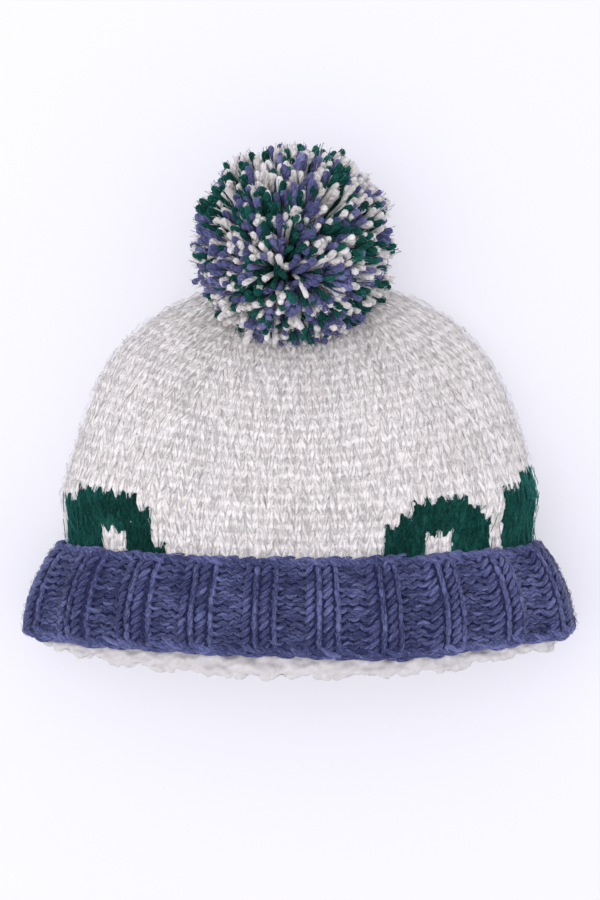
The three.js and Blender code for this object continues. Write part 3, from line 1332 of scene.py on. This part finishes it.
@dataclass
class Lining(Layer):
    """The fleece inside the hat, whose rolled edge shows below the cuff."""

    node: str = "lining"
    slot: str = "cream_fleece"
    shows: float = 11.5
    flare: float = 4.5
    bow: float = 7.0
    around: int = 400
    outer_rows: int = 14
    lip_rows: int = 46
    inner_rows: int = 34
    nub: float = 5.5
    nub_height: float = 2.6
    ragged: float = 2.0

    def build(self) -> None:
        """Builds the closed lining with its nubs."""
        piece = self.maker.shell("lining_fleece", self._nubby(self._grid()))
        self.dress(piece, self.grounds[Ground.FLEECE])

    def _grid(self) -> Array:
        """Runs down the outer face, over the rolled edge and up the inner face.

        Returns:
            (rows, columns, 3) points in millimetres.
        """
        offset = -FORM.crown_wall - FORM.gap
        outer = FORM.rounds(np.linspace(1, 0, self.outer_rows), offset - 0.2, self.around)
        # Each round of the roll: share of the wall's thickness, share of the way back up from the edge
        rolls = ((0.02, 0.62), (0.06, 0.34), (0.2, 0.12), (0.45, 0.0), (0.75, 0.06), (0.95, 0.3), (1.0, 0.6))
        edge = np.stack([self._edge_round(*roll, offset) for roll in rolls])
        inner = FORM.rounds(np.linspace(0, 1, 60), offset - FORM.lining_wall, self.around)
        lip = even_rows(np.concatenate([outer[-1:], edge, inner[:1]]), self.lip_rows)
        return np.concatenate([outer[:-1], lip[:-1], even_rows(inner, self.inner_rows)])

    def _edge_round(self, depth: float, reach: float, offset: float) -> Array:
        """Makes one round of the rolled edge.

        Args:
            depth: share of the wall's thickness, from its outer face.
            reach: share of the way back up from the lowest line.
            offset: the lining's outer face, from the crown's.

        Returns:
            (around, 3) points in millimetres.
        """
        below = 1 - reach
        drop = (FORM.sections[0].y + self.shows) * below
        out = offset - FORM.lining_wall * depth + self.flare * below
        ring, = FORM.rounds([0.0], out, self.around)
        side = (ring[:, 0] / np.abs(ring[:, 0]).max()) ** 2
        places = [Vector((x, z, 5)) for x, _, z in ring]
        torn = [noise.noise(place / 9) + 0.7 * noise.noise(place / 4) for place in places]
        ring[:, 1] += self.bow * below * side - drop + self.ragged * below * np.array(torn)
        return ring

    def _nubby(self, grid: Array) -> Array:
        """Raises curled nubs on the faces that show.

        Args:
            grid: (rows, columns, 3) points of the smooth lining.

        Returns:
            The same grid with its nubs.
        """
        heights = []
        for point in grid.reshape(-1, 3):
            # Round nubs with finer curls on them, some higher than others
            place = Vector(point) / self.nub
            curl, fine = noise.voronoi(place)[0][0], noise.voronoi(place * 2.3)[0][0]
            heights.append(0.8 - 1.6 * curl**2 - 0.8 * fine**2 + 0.4 * noise.noise(place * 0.4))
        relief = np.reshape(heights, grid.shape[:2])[..., None] * self.nub_height
        shown = smoothstep(np.arange(len(grid)), self.outer_rows - 1, self.outer_rows + 2)[:, None, None]
        return grid - Skin(grid).normals * relief * shown


@dataclass
class Pompom(Layer):
    """The pompom: strands of cut yarn in three colours that fan out from where they are tied."""

    node: str = "pompom"
    slot: str = "mixed_yarn"
    radius: float = 46.0
    middle: tuple[float, float] = (-2.7, 179.5)
    head_share: float = 0.45
    lump_size: float = 6.0
    lump_height: float = 3.0
    strands: int = 2800
    strand_radius: float = 1.4
    strand_corners: int = 6
    root_radius: float = 9.0
    clumps: int = 700
    colours: tuple[Yarn, ...] = (Yarn.CREAM, Yarn.VIOLET, Yarn.GREEN)
    colour_shares: tuple[float, ...] = (0.41, 0.29, 0.3)
    mixed_share: float = 0.3
    tie: tuple[float, float, float] = (-4.0, -11.0, 6.0)
    hub: tuple[float, float, float] = (-0.09, -0.34, 0.93)
    hub_width: float = 0.42
    hub_depth: float = 8.5
    clearance: float = 0.8
    tuck: float = 6.0
    riding: RidingFibres = RidingFibres(3, radius=0.13, spread=np.pi, wander=0.8)
    strand_seed: int = 23
    fibre_seed: int = 43

    @property
    def centre(self) -> Array:
        """The ball's centre in the hat's frame."""
        return np.array([*self.middle, self.radius - 1])

    def build(self) -> None:
        """Builds the head, and the strands and frayed ends of each colour."""
        # The head is darker than the strands: painted shade deep inside the pompom
        self.dress(self._head(), self.grounds[Ground.POMPOM])
        run, numbers = self._strands()
        fibres = self._fuzz(run)
        for number, yarn in enumerate(self.colours):
            own = numbers == number
            frayed = np.repeat(own, self.riding.each)
            self.sweep(f"pompom_{yarn.value}_strands", run.where(own), self.strand_corners, yarn)
            self.sweep(f"pompom_{yarn.value}_fuzz", fibres.where(frayed), self.fibre_corners, yarn)

    def _head(self) -> bpy.types.Object:
        """Makes the dense middle that the strands stand on, pressed out of the crown.

        Returns:
            The new object.
        """
        bpy.ops.object.select_all(action="DESELECT")
        centre, size = self.maker.place(self.centre[None])[0], self.head_share * self.radius * MM
        bpy.ops.mesh.primitive_ico_sphere_add(subdivisions=4, radius=size, location=centre)
        head = bpy.context.object
        head.name = head.data.name = "pompom_head"
        bpy.ops.object.transform_apply(location=True, rotation=True, scale=True)
        lumps = bpy.data.textures.new("head_lumps", "CLOUDS")
        lumps.noise_scale = self.lump_size * MM
        rough = head.modifiers.new("rough", "DISPLACE")
        rough.texture = lumps
        rough.strength = self.lump_height * MM
        bpy.ops.object.modifier_apply(modifier=rough.name)
        points = np.zeros(len(head.data.vertices) * 3, np.float32)
        head.data.vertices.foreach_get("co", points)
        pulled = self._clear_of_crown((points.reshape(-1, 3) - self.maker.shift) / MM)
        head.data.vertices.foreach_set("co", self.maker.place(pulled).astype(np.float32).reshape(-1))
        bpy.ops.object.shade_smooth()
        return head

    def _clear_of_crown(self, points: Array) -> Array:
        """Moves points that would be inside the crown up to its face.

        Args:
            points: points in millimetres, with a last axis of 3.

        Returns:
            The points, each on or outside the crown's outer face.
        """
        moved = points.reshape(-1, 3).copy()
        x, y, z = np.abs(moved[:, 0]), moved[:, 1].copy(), moved[:, 2].copy()
        shares = np.linspace(0, 1, 400)
        share = np.interp(y, FORM.column("y", shares), shares)
        under, over = FORM.column("under", share), FORM.column("over", share)
        half = np.maximum(1e-3, FORM.column("half", share))
        fold = under + (over - under) * FORM.fold_height
        side = np.clip(x / half, 0, 1)
        top = fold + (over - fold) * (1 - side**FORM.upper_roundness) ** (1 / FORM.upper_roundness)
        inside = (y < FORM.length) & (x < half) & (z < top)
        upper = inside & (z > fold - self.tuck)
        moved[upper, 2] = top[upper] + self.clearance
        moved[inside & ~upper, 1] = FORM.length + self.clearance
        return moved.reshape(points.shape)

    def _clumped(self, aim: Array, rng: Random) -> tuple[Array, Array]:
        """Gathers the strands in clumps of one colour, with some strands of other colours mixed in.

        Args:
            aim: the strands' directions.
            rng: the source of chance.

        Returns:
            The number of each strand's clump and of its colour.
        """
        kinds = len(self.colours)
        seeds = unit(rng.normal(0, 1, (self.clumps, 3)))
        shares = rng.choice(kinds, self.clumps, p=self.colour_shares)
        nearest = np.argmax(unit(aim + rng.normal(0, 0.05, aim.shape)) @ seeds.T, axis=1)
        mixed = rng.random(self.strands) < self.mixed_share
        return nearest, np.where(mixed, rng.integers(0, kinds, self.strands), shares[nearest])

    def _strands(self) -> tuple[YarnRun, Array]:
        """Places the strands, which part at a darker dimple on the hub's side.

        Returns:
            The strands and the colour number of each.
        """
        rng = np.random.default_rng(self.strand_seed)
        index = np.arange(self.strands)
        rise = 1 - (2 * index + 1) / self.strands
        turn = np.pi * (3 - math.sqrt(5)) * index
        flat = np.sqrt(1 - rise**2)
        aim = np.stack([flat * np.cos(turn), flat * np.sin(turn), rise], axis=1)
        aim = unit(aim + rng.normal(0, 0.05, aim.shape))
        nearest, numbers = self._clumped(aim, rng)
        clump_lean = rng.normal(0, 0.12, (self.clumps, 3))[nearest]

        # Near the hub the strands are darker, shorter and crossed
        hub = unit(np.array(self.hub))
        toward = aim @ hub
        near = np.exp(-((np.arccos(np.clip(toward, -1, 1)) / self.hub_width) ** 2))
        darker = (numbers == 0) & (rng.random(self.strands) < 0.7 * near)
        numbers = np.where(darker, rng.integers(1, len(self.colours), self.strands), numbers)
        parting = 0.15 * near[:, None] * unit(aim - toward[:, None] * hub)
        crossed = rng.normal(0, 0.05, aim.shape) + 0.16 * near[:, None] * rng.normal(0, 1, aim.shape)
        tip_aim = unit(aim + clump_lean + parting + crossed)
        clump_reach = rng.normal(0, 1.2, self.clumps)[nearest]
        stray = 3.0 * (rng.random(self.strands) < 0.015)
        reach = self.radius - 2.4 - self.hub_depth * near + clump_reach
        reach = reach + rng.normal(0, 1.3, self.strands) + stray

        # Each strand runs from the tie to its tip, a little bent, and swells before its cut end
        t = np.array([0, 0.3, 0.6, 0.82, 0.95, 0.985, 1.0])[None, :, None]
        swell = np.array([0.45, 0.68, 0.84, 1.0, 1.12, 0.86, 0.35])
        tie = np.array(self.tie)
        tip = tip_aim * reach[:, None]
        root = tie + unit(tip - tie) * self.root_radius
        bend = rng.normal(0, 1.8, (self.strands, 1, 3))
        paths = self.centre + root[:, None] * (1 - t) + tip[:, None] * t + bend * np.sin(np.pi * t)
        normals = np.broadcast_to(unit(rng.normal(0, 1, (self.strands, 1, 3))), paths.shape)
        size = self.strand_radius * (1 + rng.normal(0, 0.1, (self.strands, 1))) * swell
        tones = np.clip(rng.normal(0.5, 0.13, self.strands), 0, 1)
        return YarnRun(self._clear_of_crown(paths), normals, size, size, tones), numbers

    def _fuzz(self, run: YarnRun) -> YarnRun:
        """Frays the strands' outer parts with fine fibres.

        Args:
            run: the strands.

        Returns:
            The fibres, those of a strand one after another.
        """
        outer = YarnRun(run.paths[:, 2:], run.normals[:, 2:], run.wide[:, 2:], run.deep[:, 2:], run.tones)
        fibres = self.riding.along(outer, np.random.default_rng(self.fibre_seed))
        return replace(fibres, paths=self._clear_of_crown(fibres.paths))


@dataclass(frozen=True)
class Studio:
    """A pale sheet, soft light all round and a camera straight above.

    The floor and the lamp are in metres. The camera's own sizes are in millimetres and pixels.
    """

    maker: MeshMaker
    floor_size: float = 4.0
    surround_strength: float = 1.05
    lamp_size: float = 1.2
    lamp_power: float = 5.0
    lamp_place: tuple[float, float, float] = (-0.3, 0.1, 1.3)
    scale: float = 0.4537
    scale_height: float = 30.0
    camera_height: float = 1000.0
    middle_pixel: tuple[float, float] = (300.0, 644.6)
    image: tuple[int, int] = (600, 900)
    sensor: float = 36.0

    def build(self) -> None:
        """Builds the floor, the lights and the camera."""
        self._floor()
        self._lights()
        self._camera()

    def _floor(self) -> None:
        """Lays the pale sheet that the hat rests on."""
        bpy.ops.object.select_all(action="DESELECT")
        bpy.ops.mesh.primitive_plane_add(size=self.floor_size, location=(0, 0, 0))
        floor = bpy.context.object
        floor.name = "floor"
        floor.data.materials.append(SheetFinish().build())

    def _lights(self) -> None:
        """Hangs one broad lamp above and lets a white surround fill the shade."""
        world = bpy.data.worlds.new("white_surround")
        world.use_nodes = True
        surround = world.node_tree.nodes["Background"]
        surround.inputs["Color"].default_value = linear("#F4F5FF")
        surround.inputs["Strength"].default_value = self.surround_strength
        bpy.context.scene.world = world
        data = bpy.data.lights.new("broad_lamp", "AREA")
        data.shape = "DISK"
        data.size = self.lamp_size
        data.energy = self.lamp_power
        lamp = bpy.data.objects.new("broad_lamp", data)
        lamp.location = self.lamp_place
        lamp.rotation_euler = (-lamp.location).to_track_quat("-Z", "Y").to_euler()
        bpy.context.scene.collection.objects.link(lamp)
        bpy.context.scene.view_settings.view_transform = "Standard"

    def _camera(self) -> None:
        """Sets the camera straight above, with the photograph's scale and middle."""
        data = bpy.data.cameras.new("above")
        data.sensor_fit = "VERTICAL"
        data.sensor_height = self.sensor
        view = self.image[1] * self.scale
        data.lens = self.sensor * (self.camera_height - self.scale_height) / view
        camera = bpy.data.objects.new("above", data)
        x = (self.image[0] / 2 - self.middle_pixel[0]) * self.scale
        y = (self.middle_pixel[1] - self.image[1] / 2) * self.scale
        camera.location = self.maker.place(np.array([[x, y, self.camera_height]]))[0]
        bpy.context.scene.collection.objects.link(camera)
        bpy.context.scene.camera = camera


def main() -> None:
    """Builds the studio, then the hat's pieces in order."""
    logging.basicConfig(level=logging.INFO, format="%(name)s %(message)s")
    maker = MeshMaker()
    wools = {yarn: finish.build() for yarn, finish in WOOLS.items()}
    grounds = {ground: finish.build() for ground, finish in GROUNDS.items()}
    Studio(maker).build()
    for layer in (Lining, Crown, Cuff, Pompom):
        layer(maker, wools, grounds).build()


if __name__ == "__main__":
    main()
